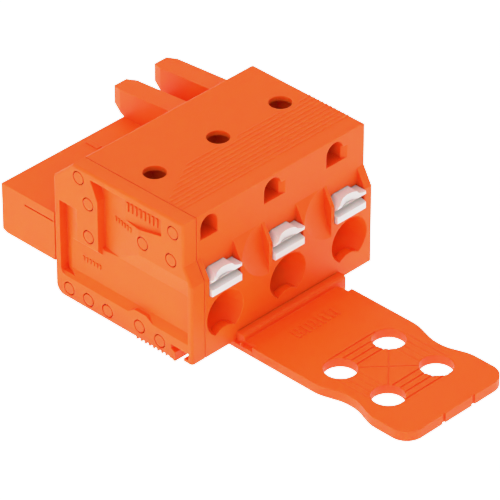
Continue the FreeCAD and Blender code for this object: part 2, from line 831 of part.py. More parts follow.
def build_end_plate():
    """Separate moulded plate that closes the left end, welded on eleven pegs."""
    body = new_body("end_plate")
    sketch = new_sketch(body, "plate_profile", "YZ_Plane", "-body_width / 2")
    polygon(sketch, SIDE_OUTLINE)
    pad(body, sketch, "plate_thickness")
    face_x = -size("body_width") / 2
    seam_x = face_x + size("plate_thickness")
    rear = size("rear_y")
    floor = size("body_floor_z")
    dress(body, "Fillet", "foot_corner", lambda p: near(p.y, rear) and near(p.z, floor), "plate_corner")
    rims = (
        ("Fillet", "outer_rim", face_x, "plate_round"),
        ("Chamfer", "seam_rim", seam_x, "seam_chamfer"),
    )
    for kind, name, x, amount in rims:
        dress(body, kind, name, lambda p: near(p.x, x) and (p.z > 0.7 or near(p.y, 0)), amount)
    left = "rib_inset - body_width / 2"
    right = "plate_thickness - body_width / 2"
    add_ribs(body, "plate_ribs", BOTTOM_RIBS, "body_floor_z", "-body_floor_z", left, right)
    cut_slot(body, "plate_thickness - body_width / 2 + 1", "plate_thickness + 2")
    cut_fields(body)
    fill_fields(body)
    sketch = new_sketch(body, "peg_holes", "YZ_Plane", "plate_thickness - body_width / 2")
    for number in range(1, len(PEGS) + 1):
        circle(sketch, (f"peg_{number}_y", f"peg_{number}_z"), "peg_hole_radius")
    pocket(body, sketch, "plate_thickness")
    return body


def build_relief_plate():
    """Strain relief plate: T-shaped foot, notched root and a flat tongue with cable-tie holes."""
    body = new_body("strain_relief_plate")
    sketch = new_sketch(body, "foot", "YZ_Plane", "relief_foot_centre_x - relief_foot_half_width")
    corners = [
        ("-relief_block_y", "0"),
        ("slot_lip_rear_y - relief_gap", "0"),
        ("slot_lip_rear_y - relief_gap", "slot_low_z + relief_gap"),
        ("slot_rear_y - 2 * relief_gap", "slot_chamfer_z + relief_gap"),
        ("slot_rear_y - 2 * relief_gap", "slot_high_z - relief_gap"),
        ("slot_front_y + relief_gap", "slot_high_z - relief_gap"),
        ("slot_front_y + relief_gap", "slot_low_z + relief_gap"),
        ("slot_lip_front_y + relief_gap", "slot_low_z + relief_gap"),
        ("slot_lip_front_y + relief_gap", "front_lip_z - relief_gap"),
        ("-relief_rest_gap", "front_lip_z - relief_gap"),
        ("-relief_rest_gap", "relief_block_z"),
        ("relief_block_round - relief_block_y", "relief_block_z"),
        ("0.3 * relief_block_round - relief_block_y", "relief_block_z - 0.3 * relief_block_round"),
        ("-relief_block_y", "relief_block_z - relief_block_round"),
    ]
    polygon(sketch, corners)
    pad(body, sketch, "2 * relief_foot_half_width")
    sketch = new_sketch(body, "root", "YZ_Plane", "relief_centre_x - relief_half_width")
    steps = 10
    corners = [
        ("-relief_ramp_end_y - 1", "0"),
        ("relief_root_y", "0"),
        ("relief_root_y", "relief_root_z"),
        ("0.1 - relief_block_y", "relief_root_z"),
        ("0.1 - relief_block_y", "relief_ramp_z"),
    ]
    for step in range(steps + 1):
        part = step / steps
        rise = part * part * (3 - 2 * part)
        along = f"-relief_block_y - {part:.4f} * (relief_ramp_end_y - relief_block_y)"
        corners.append((along, f"relief_ramp_z + {rise:.4f} * (relief_thickness - relief_ramp_z)"))
    corners.append(("-relief_ramp_end_y - 1", "relief_thickness"))
    polygon(sketch, corners)
    pad(body, sketch, "2 * relief_half_width")
    sketch = new_sketch(body, "tongue", "XY_Plane")
    outline = [
        ("relief_half_width", "-relief_ramp_end_y - 0.5"),
        ("relief_half_width", "relief_shoulder_y"),
        ("relief_waist", "relief_waist_y"),
        ("relief_waist", "relief_flare_y"),
        ("relief_end_half_width", "relief_flare_end_y"),
        ("relief_end_half_width", "-relief_reach"),
    ]
    right_side = [(f"relief_centre_x + {half}", y) for half, y in outline]
    left_side = [(f"relief_centre_x - {half}", y) for half, y in reversed(outline)]
    polygon(sketch, right_side + left_side)
    pad(body, sketch, "relief_thickness")
    middle = size("relief_centre_x")
    bends = (
        ("shoulder", "relief_shoulder_y", "relief_half_width", "relief_sweep"),
        ("waist", "relief_waist_y", "relief_waist", "relief_sweep"),
        ("flare", "relief_flare_y", "relief_waist", "relief_sweep"),
        ("flare_end", "relief_flare_end_y", "relief_end_half_width", "relief_sweep"),
        ("end", "relief_reach", "relief_end_half_width", "relief_corner"),
    )
    for name, level, half, radius in bends:
        y = -abs(size(level))
        out = size(half)
        dress(
            body,
            "Fillet",
            f"{name}_corners",
            lambda p: near(p.y, y) and near(abs(p.x - middle), out),
            radius,
        )
    cut_tie_holes(body)
    sketch = new_sketch(body, "root_notches", "XY_Plane", "relief_thickness")
    for side in (-1, 1):
        inner = f"relief_centre_x + {side} * (relief_half_width - relief_notch)"
        outer = f"relief_centre_x + {side} * (relief_half_width + 0.1)"
        rectangle(sketch, inner, outer, "-relief_notch_end_y", "-relief_block_y - 0.02")
    pocket(body, sketch, "relief_thickness - relief_root_z")
    sketch = new_sketch(body, "end_nicks", "XY_Plane", "relief_thickness")
    for place in ("relief_nick_first_x", "relief_nick_second_x"):
        left = f"{place} - relief_nick_half"
        right = f"{place} + relief_nick_half"
        rectangle(sketch, left, right, "-relief_reach - 0.1", "relief_nick_depth - relief_reach")
    pocket(body, sketch, "relief_thickness")
    return body


def cut_tie_holes(body):
    """Four cable-tie holes, score lines from hole to hole and a shallow diagonal cross."""
    places = [
        (f"relief_centre_x + {sx} * tie_spacing_x / 2", f"-tie_centre_y + {sy} * tie_spacing_y / 2")
        for sx in (-1, 1)
        for sy in (-1, 1)
    ]
    sketch = new_sketch(body, "tie_holes", "XY_Plane", "relief_thickness")
    for place in places:
        circle(sketch, place, "tie_hole_radius")
    pocket(body, sketch, "relief_thickness")
    sketch = new_sketch(body, "tie_rims", "XY_Plane", "relief_thickness")
    for place in places:
        circle(sketch, place, "tie_hole_radius + tie_rim")
    pocket(body, sketch, "tie_rim", "-44")
    rows = []
    for side in (-1, 1):
        for step in (-1, 0, 1, 2):
            offset = f"(score_pitch * {step} + 0.06)"
            gap = f"sqrt(tie_hole_radius^2 - {offset}^2)"
            rows.append((side, offset, gap))
    sketch = new_sketch(body, "score_lines", "XY_Plane", "relief_thickness")
    for side, offset, gap in rows:
        middle = f"(-tie_centre_y + {side} * (tie_spacing_y / 2 + {offset}))"
        reach = f"(tie_spacing_x / 2 - {gap} + score_overrun)"
        low = f"{middle} - score_width / 2"
        high = f"{middle} + score_width / 2"
        rectangle(sketch, f"relief_centre_x - {reach}", f"relief_centre_x + {reach}", low, high)
    pocket(body, sketch, "score_depth")
    sketch = new_sketch(body, "side_score_lines", "XY_Plane", "relief_thickness")
    for side, offset, gap in rows:
        middle = f"(relief_centre_x + {side} * (tie_spacing_x / 2 + {offset}))"
        reach = f"(tie_spacing_y / 2 - {gap} + score_overrun)"
        left = f"{middle} - score_width / 2"
        right = f"{middle} + score_width / 2"
        rectangle(sketch, left, right, f"-tie_centre_y - {reach}", f"-tie_centre_y + {reach}")
    pocket(body, sketch, "side_score_depth")
    span = "sqrt(tie_spacing_x^2 + tie_spacing_y^2)"
    along_x = f"(cross_reach * tie_spacing_x / {span})"
    along_y = f"(cross_reach * tie_spacing_y / {span})"
    across_x = f"(cross_width / 2 * tie_spacing_y / {span})"
    across_y = f"(cross_width / 2 * tie_spacing_x / {span})"
    for number, lean in enumerate((1, -1), 1):
        sketch = new_sketch(body, f"cross_{number}", "XY_Plane", "relief_thickness")
        corners = []
        for end, edge in ((-1, 1), (-1, -1), (1, -1), (1, 1)):
            x = f"relief_centre_x + {lean} * ({end} * {along_x} - {edge} * {across_x})"
            corners.append((x, f"-tie_centre_y + {end} * {along_y} + {edge} * {across_y}"))
        polygon(sketch, corners)
        pocket(body, sketch, "cross_depth")


def build_button(pole):
    """White push-button that opens one pole's clamp when it is pressed inwards."""
    body = new_body(f"push_button_{pole + 1}")
    body.setExpression("Placement.Base.x", bound(pole_x(pole)))
    sketch = new_sketch(body, f"button_profile_{pole + 1}", "YZ_Plane", "-button_half_width")
    corners = [
        ("button_front_y", "button_low_z"),
        ("button_front_y", "button_lip_z"),
        ("button_notch_y", "button_notch_z"),
        ("button_front_y", "button_upper_z"),
        ("button_front_y", "button_brow_z"),
        ("kink_depth", "button_top_z"),
        ("button_flange_y", "button_top_z"),
        ("button_flange_y", "button_flange_high_z"),
        ("button_flange_end_y", "button_flange_high_z"),
        ("button_flange_end_y", "button_nose_high_z + 0.2"),
        ("button_nose_y", "button_nose_high_z"),
        ("button_nose_y", "button_nose_low_z"),
        ("button_flange_end_y", "button_flange_low_z"),
        ("button_flange_y", "button_flange_low_z"),
        ("button_flange_y", "button_low_z"),
    ]
    polygon(sketch, corners)
    pad(body, sketch, "2 * button_half_width")
    front = size("button_front_y")
    dress(body, "Fillet", f"button_edges_{pole + 1}", lambda p: near(p.y, front), "button_edge")
    sketch = new_sketch(body, f"scoop_{pole + 1}", "XY_Plane", "button_top_z + 0.1")
    centre = ("0", "button_front_y - button_scoop_radius + button_scoop_depth")
    circle(sketch, centre, "button_scoop_radius")
    pocket(body, sketch, "button_top_z + 0.1 - (button_upper_z - 0.25)")
    sketch = new_sketch(body, f"shoulders_{pole + 1}", "XZ_Plane", "0.5")
    over = "button_top_z + 0.1"
    step = [
        ("button_step_x", over),
        ("button_step_x + button_step", "button_top_z - button_step"),
        ("button_half_width + 0.1", "button_top_z - button_step"),
        ("button_half_width + 0.1", over),
    ]
    slant = [
        ("-button_half_width - 0.1", over),
        ("-button_half_width - 0.1", "button_top_z - button_shoulder_drop"),
        ("-button_half_width", "button_top_z - button_shoulder_drop"),
        ("button_shoulder_run - button_half_width", "button_top_z"),
        ("button_shoulder_run - button_half_width", over),
    ]
    polygon(sketch, step)
    polygon(sketch, slant)
    pocket(body, sketch, "0.5 + button_flange_y")
    return body


def build_contact_bar(pole):
    """Current bar: a floor strip under the wire, a riser and a fork that grips the mating pin."""
    body = new_body(f"contact_bar_{pole + 1}")
    body.setExpression("Placement.Base.x", bound(pole_x(pole)))
    sketch = new_sketch(body, f"bar_profile_{pole + 1}", "YZ_Plane", "-bar_half_width")
    stations = [
        ("fork_root_y", "fork_root_half"),
        ("fork_pinch_y", "fork_pinch_half"),
        ("fork_end_y", "fork_end_half"),
    ]
    lower_outer = [(y, f"pin_z - {half}") for y, half in stations]
    lower_inner = [(y, f"pin_z - {half} + fork_gauge") for y, half in reversed(stations)]
    upper_inner = [(y, f"pin_z + {half} - fork_gauge") for y, half in stations]
    upper_outer = [(y, f"pin_z + {half}") for y, half in reversed(stations)]
    corners = [
        ("bar_front_y", "bar_low_z"),
        ("bar_riser_y + bar_gauge", "bar_low_z"),
        ("bar_riser_y + bar_gauge", "pin_z - fork_root_half"),
    ]
    corners += lower_outer + lower_inner
    corners += [
        ("bar_riser_y + 2 * bar_gauge", "pin_z - fork_root_half + fork_gauge"),
        ("bar_riser_y + 2 * bar_gauge", "pin_z + fork_root_half - fork_gauge"),
    ]
    corners += upper_inner + upper_outer
    corners += [
        ("bar_riser_y", "pin_z + fork_root_half"),
        ("bar_riser_y", "bar_low_z + bar_gauge"),
        ("bar_front_y", "bar_low_z + bar_gauge"),
    ]
    polygon(sketch, corners)
    pad(body, sketch, "2 * bar_half_width")
    return body


def spring_path(side):
    """Centre line of the clamp spring in the plane x = side, from its heel over the bend to its tip."""
    high = size("spring_high_z")
    bend_y = size("spring_bend_y")
    bend = size("spring_bend_radius")
    heel = size("spring_heel_y")
    corner = 0.5
    angle = math.radians(size("spring_leg_angle"))
    centre = FreeCAD.Vector(side, bend_y, high - bend)

    def on_bend(turn):
        """Point of the bend at an angle from +Y."""
        return centre + FreeCAD.Vector(0, bend * math.cos(turn), bend * math.sin(turn))

    leave = 1.5 * math.pi - angle
    start = on_bend(math.pi / 2)
    finish = on_bend(leave)
    drop = finish.z - size("spring_tip_z")
    tip = FreeCAD.Vector(side, finish.y + drop / math.tan(angle), size("spring_tip_z"))
    shoulder = FreeCAD.Vector(side, heel, high - corner)
    shoulder_end = FreeCAD.Vector(side, heel - corner, high)
    cut_in = corner * (1 - math.sqrt(0.5))
    knee = FreeCAD.Vector(side, heel - cut_in, high - cut_in)
    edges = [
        Part.makeLine(FreeCAD.Vector(side, heel, size("spring_heel_z")), shoulder),
        Part.Arc(shoulder, knee, shoulder_end).toShape(),
        Part.makeLine(shoulder_end, start),
        Part.Arc(start, on_bend((math.pi / 2 + leave) / 2), finish).toShape(),
        Part.makeLine(finish, tip),
    ]
    return Part.Wire(edges)


def build_spring(pole):
    """Clamp spring bent from flat strip: its leg presses the wire onto the bar."""
    spring = doc.addObject("Part::Feature", f"clamp_spring_{pole + 1}")
    spring.Label = f"clamp_spring_{pole + 1}"
    path = spring_path(-size("spring_half_width"))
    gauge = size("spring_gauge")
    ribbon = path.makeOffset2D(gauge / 2, 0, False, True)
    other = path.makeOffset2D(-gauge / 2, 0, False, True)
    first = ribbon.OrderedVertexes
    second = other.OrderedVertexes
    caps = [
        Part.makeLine(first[0].Point, second[0].Point),
        Part.makeLine(first[-1].Point, second[-1].Point),
    ]
    face = Part.Face(Part.Wire(Part.sortEdges(ribbon.Edges + other.Edges + caps)[0]))
    spring.Shape = face.extrude(FreeCAD.Vector(2 * size("spring_half_width"), 0, 0))
    spring.setExpression("Placement.Base.x", bound(pole_x(pole)))
    spring.setExpression("Placement.Base.y", bound("(relief_reach - finger_reach) / 2"))
    return spring


def build_overspring(pole):
    """Steel clip that backs the fork's leaves."""
    body = new_body(f"contact_overspring_{pole + 1}")
    body.setExpression("Placement.Base.x", bound(pole_x(pole)))
    sketch = new_sketch(body, f"clip_profile_{pole + 1}", "XZ_Plane", "-(clip_start_y + clip_length)")
    inner = "(fork_root_half + clip_gap)"
    outer = "(fork_root_half + clip_gap + clip_gauge)"
    side = "(bar_half_width + clip_gap)"
    corners = [
        ("-bar_half_width", f"pin_z - {outer}"),
        (f"{side} + clip_gauge", f"pin_z - {outer}"),
        (f"{side} + clip_gauge", f"pin_z + {outer}"),
        ("-bar_half_width", f"pin_z + {outer}"),
        ("-bar_half_width", f"pin_z + {inner}"),
        (side, f"pin_z + {inner}"),
        (side, f"pin_z - {inner}"),
        ("-bar_half_width", f"pin_z - {inner}"),
    ]
    polygon(sketch, corners)
    pad(body, sketch, "clip_length")
    return body


sub_parts = [build_housing(), build_end_plate(), build_relief_plate()]
for pole in range(POLES):
    sub_parts.append(build_button(pole))
    sub_parts.append(build_spring(pole))
    sub_parts.append(build_contact_bar(pole))
    sub_parts.append(build_overspring(pole))
doc.recompute()

for item in doc.Objects:
    failed = [state for state in item.State if state in INVALID_STATES]
    if failed:
        raise RuntimeError(f"{item.Name} failed to recompute: {failed}")
for part in sub_parts:
    if part.Shape.isNull() or not part.Shape.isValid() or len(part.Shape.Solids) != 1:
        raise RuntimeError(f"{part.Label} is not one valid solid")

os.makedirs("parts", exist_ok=True)
for part in sub_parts:
    part.Shape.exportStep(f"parts/{part.Label}.step")
    box = part.Shape.BoundBox
    print(f"{part.Label}: volume {part.Shape.Volume:.2f}, x {box.XMin:.3f}..{box.XMax:.3f}, "
          f"y {box.YMin:.3f}..{box.YMax:.3f}, z {box.ZMin:.3f}..{box.ZMax:.3f}")
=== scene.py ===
"""Studio scene of a pluggable wire connector with push-buttons and a strain relief plate.

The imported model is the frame. Its nodes keep their shapes and get finishes; the raised bars are new
pieces that ride on the connector's body. Every length in this script is in metres unless its name
ends in _mm.
"""

import json
import logging
import math
from dataclasses import dataclass, field, replace
from enum import Enum
from functools import cache

import bmesh
import bpy
from mathutils import Matrix, Vector

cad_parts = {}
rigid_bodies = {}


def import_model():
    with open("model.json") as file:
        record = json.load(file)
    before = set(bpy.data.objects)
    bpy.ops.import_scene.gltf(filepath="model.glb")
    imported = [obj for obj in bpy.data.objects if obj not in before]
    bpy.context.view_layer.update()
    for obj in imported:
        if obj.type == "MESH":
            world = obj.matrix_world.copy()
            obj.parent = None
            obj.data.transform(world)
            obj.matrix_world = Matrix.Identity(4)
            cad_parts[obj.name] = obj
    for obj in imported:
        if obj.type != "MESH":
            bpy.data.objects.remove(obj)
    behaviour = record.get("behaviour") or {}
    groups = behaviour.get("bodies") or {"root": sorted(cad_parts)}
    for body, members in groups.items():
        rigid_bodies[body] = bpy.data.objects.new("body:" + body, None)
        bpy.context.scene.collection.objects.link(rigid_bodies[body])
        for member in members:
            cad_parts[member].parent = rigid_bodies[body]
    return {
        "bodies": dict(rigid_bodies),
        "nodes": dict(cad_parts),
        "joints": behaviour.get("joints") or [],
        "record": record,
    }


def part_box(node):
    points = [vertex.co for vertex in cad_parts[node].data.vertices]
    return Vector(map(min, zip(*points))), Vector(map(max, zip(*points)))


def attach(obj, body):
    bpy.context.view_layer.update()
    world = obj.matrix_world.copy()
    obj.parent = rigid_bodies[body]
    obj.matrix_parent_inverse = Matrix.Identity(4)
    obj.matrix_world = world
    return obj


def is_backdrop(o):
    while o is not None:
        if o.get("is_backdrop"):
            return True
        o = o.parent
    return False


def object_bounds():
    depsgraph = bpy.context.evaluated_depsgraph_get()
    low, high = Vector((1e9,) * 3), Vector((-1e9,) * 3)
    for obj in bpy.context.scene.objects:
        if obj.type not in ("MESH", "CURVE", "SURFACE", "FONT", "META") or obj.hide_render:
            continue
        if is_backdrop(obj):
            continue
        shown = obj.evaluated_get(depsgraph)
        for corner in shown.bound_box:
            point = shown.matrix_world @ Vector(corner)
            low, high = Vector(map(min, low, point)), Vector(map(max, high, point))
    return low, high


LOG = logging.getLogger("connector")
MM = 0.001
CONNECTOR_BODY = "connector"
POLES = (1, 2, 3)
# Light this strong comes out pure white, and the floor glows at it.
WHITE_LEVEL = 2.4
# Light in and shade out, along the tone curve.
TONE_SHOULDER = (
    (0.2, 0.2),
    (0.4, 0.4),
    (0.6, 0.6),
    (0.75, 0.74),
    (0.95, 0.82),
    (1.25, 0.86),
    (1.8, 0.9),
    (2.2, 0.95),
)


class Side(Enum):
    """A face that raised bars stand on, as the directions of the row, of each bar and outwards."""

    LEFT = ((0.0, -1.0, 0.0), (0.0, 0.0, 1.0), (-1.0, 0.0, 0.0))
    TOP = ((1.0, 0.0, 0.0), (0.0, 1.0, 0.0), (0.0, 0.0, 1.0))


def linear(hex_colour: str) -> tuple[float, float, float, float]:
    """Turn an sRGB hex colour into linear RGBA.

    Args:
        hex_colour: Six hex digits after a hash, such as "#EE6E2E".

    Returns:
        Linear red, green, blue and an alpha of 1.
    """
    channels = [int(hex_colour[start : start + 2], 16) / 255 for start in (1, 3, 5)]
    values = [c / 12.92 if c <= 0.04045 else ((c + 0.055) / 1.055) ** 2.4 for c in channels]
    return (values[0], values[1], values[2], 1.0)


def add_node(tree: bpy.types.NodeTree, kind: str, settings: dict, links: dict) -> bpy.types.Node:
    """Add one shader node with its settings and its incoming links.

    Args:
        tree: The material's node tree.
        kind: The node's type name.
        settings: Property names, or "in:" and a socket name, and their values.
        links: Input socket names and the output sockets that feed them.

    Returns:
        The new node.
    """
    node = tree.nodes.new(kind)
    for name, value in settings.items():
        if name.startswith("in:"):
            node.inputs[name[3:]].default_value = value
        else:
            setattr(node, name, value)
    for name, source in links.items():
        tree.links.new(source, node.inputs[name])
    return node


def colour_sockets(sockets: bpy.types.bpy_prop_collection) -> list[bpy.types.NodeSocket]:
    """The sockets that carry a colour, which a Mix node has among others with the same names."""
    return [socket for socket in sockets if socket.type == "RGBA"]


@dataclass(frozen=True)
class MouldedPlastic:
    """Injection-moulded thermoplastic: spark-eroded grain, satin gloss and light that soaks in a little,
    with painted shade in its recesses and painted highlights on its edges.

    The grain is drawn about three times as coarse as the real one, so that it shows.
    """

    name: str
    colour: str
    deep_colour: str
    # Painted shade: the colour painted into recesses in place of their shade.
    painted_shade_colour: str
    # Painted highlight: the lighter colour painted on edges in place of their highlights.
    edge_highlight_colour: str
    roughness: float
    grain_mm: float
    grain_depth_mm: float
    edge_mm: float
    soak: float
    soak_mm: float = 1.2
    soak_by_channel: tuple[float, float, float] = (1.0, 0.12, 0.05)
    ior: float = 1.53
    shine: float = 0.12
    gloss_drift: tuple[float, float] = (-0.05, 0.06)
    grain_strength: float = 0.35
    flow_mm: float = 6.0
    flow_tint: float = 0.22
    # How strongly the highlights are painted on the edges.
    edge_highlight_strength: float = 0.5
    # How far from a wall the painted shade of a recess reaches.
    painted_shade_mm: float = 2.5

    def tint(self, tree: bpy.types.NodeTree, place: bpy.types.NodeSocket) -> bpy.types.NodeSocket:
        """Drift between the two base colours, as the melt's flow leaves it.

        Args:
            tree: The material's node tree.
            place: Object coordinates.

        Returns:
            The drifting colour.
        """
        flow = add_node(
            tree,
            "ShaderNodeTexNoise",
            {"in:Scale": 1 / (self.flow_mm * MM), "in:Detail": 3.0, "in:Roughness": 0.5},
            {"Vector": place},
        )
        drift = add_node(
            tree,
            "ShaderNodeMapRange",
            {"in:From Min": 0.35, "in:From Max": 0.65, "in:To Min": 0.0, "in:To Max": self.flow_tint},
            {"Value": flow.outputs["Fac"]},
        )
        mix = add_node(tree, "ShaderNodeMix", {"data_type": "RGBA"}, {"Factor": drift.outputs["Result"]})
        for socket, colour in zip(colour_sockets(mix.inputs), (self.colour, self.deep_colour)):
            socket.default_value = linear(colour)
        return colour_sockets(mix.outputs)[0]

    def paint_edge_highlights(
        self, tree: bpy.types.NodeTree, colour: bpy.types.NodeSocket, eased: bpy.types.NodeSocket
    ) -> bpy.types.NodeSocket:
        """Paint highlights on the edges: a lighter colour where the eased normal turns away from the
        true one.

        Args:
            tree: The material's node tree.
            colour: The colour of the flats.
            eased: The normal with its edges eased.

        Returns:
            The colour with painted highlights on its edges.
        """
        true_face = add_node(tree, "ShaderNodeNewGeometry", {}, {})
        turn = add_node(tree, "ShaderNodeVectorMath", {"operation": "DOT_PRODUCT"}, {})
        for normal, socket in zip((eased, true_face.outputs["Normal"]), turn.inputs):
            tree.links.new(normal, socket)
        edge_highlight_amount = add_node(
            tree,
            "ShaderNodeMapRange",
            {"in:From Min": 1.0, "in:From Max": 0.8, "in:To Min": 0.0, "in:To Max": self.edge_highlight_strength},
            {"Value": turn.outputs["Value"]},
        )
        mix = add_node(tree, "ShaderNodeMix", {"data_type": "RGBA"}, {"Factor": edge_highlight_amount.outputs["Result"]})
        flat, highlit = colour_sockets(mix.inputs)
        tree.links.new(colour, flat)
        highlit.default_value = linear(self.edge_highlight_colour)
        return colour_sockets(mix.outputs)[0]

    def paint_recess_shade(
        self, tree: bpy.types.NodeTree, colour: bpy.types.NodeSocket
    ) -> bpy.types.NodeSocket:
        """Paint shade into the recesses: a deeper, redder colour where little open sky is seen, standing
        in for their shade and the light that bounces from wall to wall there.

        Args:
            tree: The material's node tree.
            colour: The colour in the open.

        Returns:
            The colour with painted shade in the recesses.
        """
        open_sky = add_node(
            tree,
            "ShaderNodeAmbientOcclusion",
            {"samples": 6, "in:Distance": self.painted_shade_mm * MM},
            {},
        )
        depth = add_node(
            tree,
            "ShaderNodeMapRange",
            {"in:From Min": 0.95, "in:From Max": 0.15, "in:To Min": 0.0, "in:To Max": 1.0},
            {"Value": open_sky.outputs["AO"]},
        )
        mix = add_node(tree, "ShaderNodeMix", {"data_type": "RGBA"}, {"Factor": depth.outputs["Result"]})
        in_open, in_painted_shade = colour_sockets(mix.inputs)
        tree.links.new(colour, in_open)
        in_painted_shade.default_value = linear(self.painted_shade_colour)
        return colour_sockets(mix.outputs)[0]

    def build(self) -> bpy.types.Material:
        """Make the material.

        Returns:
            The material with its colour drift, gloss drift, grain, painted highlights on its edges and
            painted shade in its recesses.
        """
        material = bpy.data.materials.new(self.name)
        material.use_nodes = True
        tree = material.node_tree
        tree.nodes.clear()
        place = add_node(tree, "ShaderNodeTexCoord", {}, {}).outputs["Object"]
        edge = add_node(tree, "ShaderNodeBevel", {"samples": 6, "in:Radius": self.edge_mm * MM}, {})
        eased = edge.outputs["Normal"]
        noise = add_node(
            tree,
            "ShaderNodeTexNoise",
            {"in:Scale": 1 / (self.grain_mm * MM), "in:Detail": 2.0, "in:Roughness": 0.55},
            {"Vector": place},
        )
        grain = noise.outputs["Fac"]
        with_edge_highlights = self.paint_edge_highlights(tree, self.tint(tree, place), eased)
        low_drift, high_drift = self.gloss_drift
        gloss = add_node(
            tree,
            "ShaderNodeMapRange",
            {
                "in:From Min": 0.3,
                "in:From Max": 0.7,
                "in:To Min": self.roughness + low_drift,
                "in:To Max": self.roughness + high_drift,
            },
            {"Value": grain},
        )
        bump = add_node(
            tree,
            "ShaderNodeBump",
            {"in:Strength": self.grain_strength, "in:Distance": self.grain_depth_mm * MM},
            {"Height": grain, "Normal": eased},
        )
        shader = add_node(
            tree,
            "ShaderNodeBsdfPrincipled",
            {
                "in:IOR": self.ior,
                "in:Specular IOR Level": self.shine,
                "in:Subsurface Weight": self.soak,
                "in:Subsurface Scale": self.soak_mm * MM,
                "in:Subsurface Radius": self.soak_by_channel,
            },
            {
                "Base Color": self.paint_recess_shade(tree, with_edge_highlights),
                "Roughness": gloss.outputs["Result"],
                "Normal": bump.outputs["Normal"],
            },
        )
        add_node(tree, "ShaderNodeOutputMaterial", {}, {"Surface": shader.outputs["BSDF"]})
        return material


@dataclass(frozen=True)
class RolledMetal:
    """Cold-rolled strip, bare or plated: long fine lines along the rolling direction."""

    name: str
    colour: str
    dull_colour: str
    roughness: float
    line_mm: float
    line_depth_mm: float = 0.004
    line_strength: float = 0.2
    stretch: tuple[float, float, float] = (1.0, 0.06, 0.06)
    gloss_drift: tuple[float, float] = (-0.08, 0.1)

    def build(self) -> bpy.types.Material:
        """Make the material.

        Returns:
            The material with rolling lines in its colour, gloss and bump.
        """
        material = bpy.data.materials.new(self.name)
        material.use_nodes = True
        tree = material.node_tree
        tree.nodes.clear()
        place = add_node(tree, "ShaderNodeTexCoord", {}, {})
        stretch = add_node(
            tree,
            "ShaderNodeMapping",
            {"in:Scale": self.stretch},
            {"Vector": place.outputs["Object"]},
        )
        lines = add_node(
            tree,
            "ShaderNodeTexNoise",
            {"in:Scale": 1 / (self.line_mm * MM), "in:Detail": 4.0},
            {"Vector": stretch.outputs["Vector"]},
        )
        tint = add_node(tree, "ShaderNodeMix", {"data_type": "RGBA"}, {"Factor": lines.outputs["Fac"]})
        for socket, colour in zip(colour_sockets(tint.inputs), (self.colour, self.dull_colour)):
            socket.default_value = linear(colour)
        low_drift, high_drift = self.gloss_drift
        gloss = add_node(
            tree,
            "ShaderNodeMapRange",
            {"in:To Min": self.roughness + low_drift, "in:To Max": self.roughness + high_drift},
            {"Value": lines.outputs["Fac"]},
        )
        bump = add_node(
            tree,
            "ShaderNodeBump",
            {"in:Strength": self.line_strength, "in:Distance": self.line_depth_mm * MM},
            {"Height": lines.outputs["Fac"]},
        )
        shader = add_node(
            tree,
            "ShaderNodeBsdfPrincipled",
            {"in:Metallic": 1.0},
            {
                "Base Color": colour_sockets(tint.outputs)[0],
                "Roughness": gloss.outputs["Result"],
                "Normal": bump.outputs["Normal"],
            },
        )
        add_node(tree, "ShaderNodeOutputMaterial", {}, {"Surface": shader.outputs["BSDF"]})
        return material


# Glass-free polyamide, spark-eroded mould: even satin orange that glows a little in thin walls.
HOUSING_PLASTIC = MouldedPlastic(
    name="moulded_polyamide_orange",
    colour="#F85812",
    deep_colour="#F65311",
    # The next two colours are painted shade for the recesses and painted highlights for the edges.
    painted_shade_colour="#DC4213",
    edge_highlight_colour="#FA7A38",
    roughness=0.5,
    grain_mm=0.12,
    grain_depth_mm=0.004,
    edge_mm=0.07,
    soak=0.5,
)
# The same polyamide from another mould, more matt, and painted a shade lighter as light on its broad
# outer face, which faces the side light.
END_PLATE_PLASTIC = replace(
    HOUSING_PLASTIC,
    name="moulded_polyamide_orange_end_plate",
    colour="#F85A14",
    deep_colour="#F65512",
    roughness=0.52,
    grain_mm=0.14,
    edge_mm=0.06,
)
# Flexible polyamide of the strain relief plate: smoother mould, so a broader sheen, and painted shade
# that deepens slowly towards the housing.
RELIEF_PLASTIC = replace(
    HOUSING_PLASTIC,
    name="moulded_polyamide_orange_flexible",
    colour="#F85911",
    deep_colour="#F65410",
    # Painted shade, reaching far enough that the flat darkens slowly towards the housing.
    painted_shade_colour="#EA4A1A",
    roughness=0.48,
    grain_mm=0.16,
    grain_depth_mm=0.003,
    edge_mm=0.08,
    painted_shade_mm=6.0,
)
# White-filled polyamide of the buttons: opaque, slightly warm, glossier from a polished mould.
BUTTON_PLASTIC = MouldedPlastic(
    name="moulded_polyamide_white",
    colour="#D3CFCE",
    deep_colour="#CFCBCB",
    # The next two colours are painted shade for the recesses and painted highlights for the edges.
    painted_shade_colour="#C2B8B4",
    edge_highlight_colour="#E4E0DC",
    roughness=0.42,
    grain_mm=0.1,
    grain_depth_mm=0.002,
    edge_mm=0.06,
    soak=0.2,
)
# Chrome nickel spring strip, bright rolled: cool grey with fine lines.
SPRING_STRIP = RolledMetal(
    name="rolled_spring_steel", colour="#B9BBBD", dull_colour="#8F9194", roughness=0.3, line_mm=0.05
)
# Copper with a matt electroplated tin skin: warmer and duller than the steel.
TIN_PLATE = RolledMetal(
    name="tin_plated_copper", colour="#C9C6BE", dull_colour="#A8A49A", roughness=0.38, line_mm=0.08
)


@cache
def material_of(finish: MouldedPlastic | RolledMetal) -> bpy.types.Material:
    """The one material of a finish, made the first time it is asked for."""
    return finish.build()


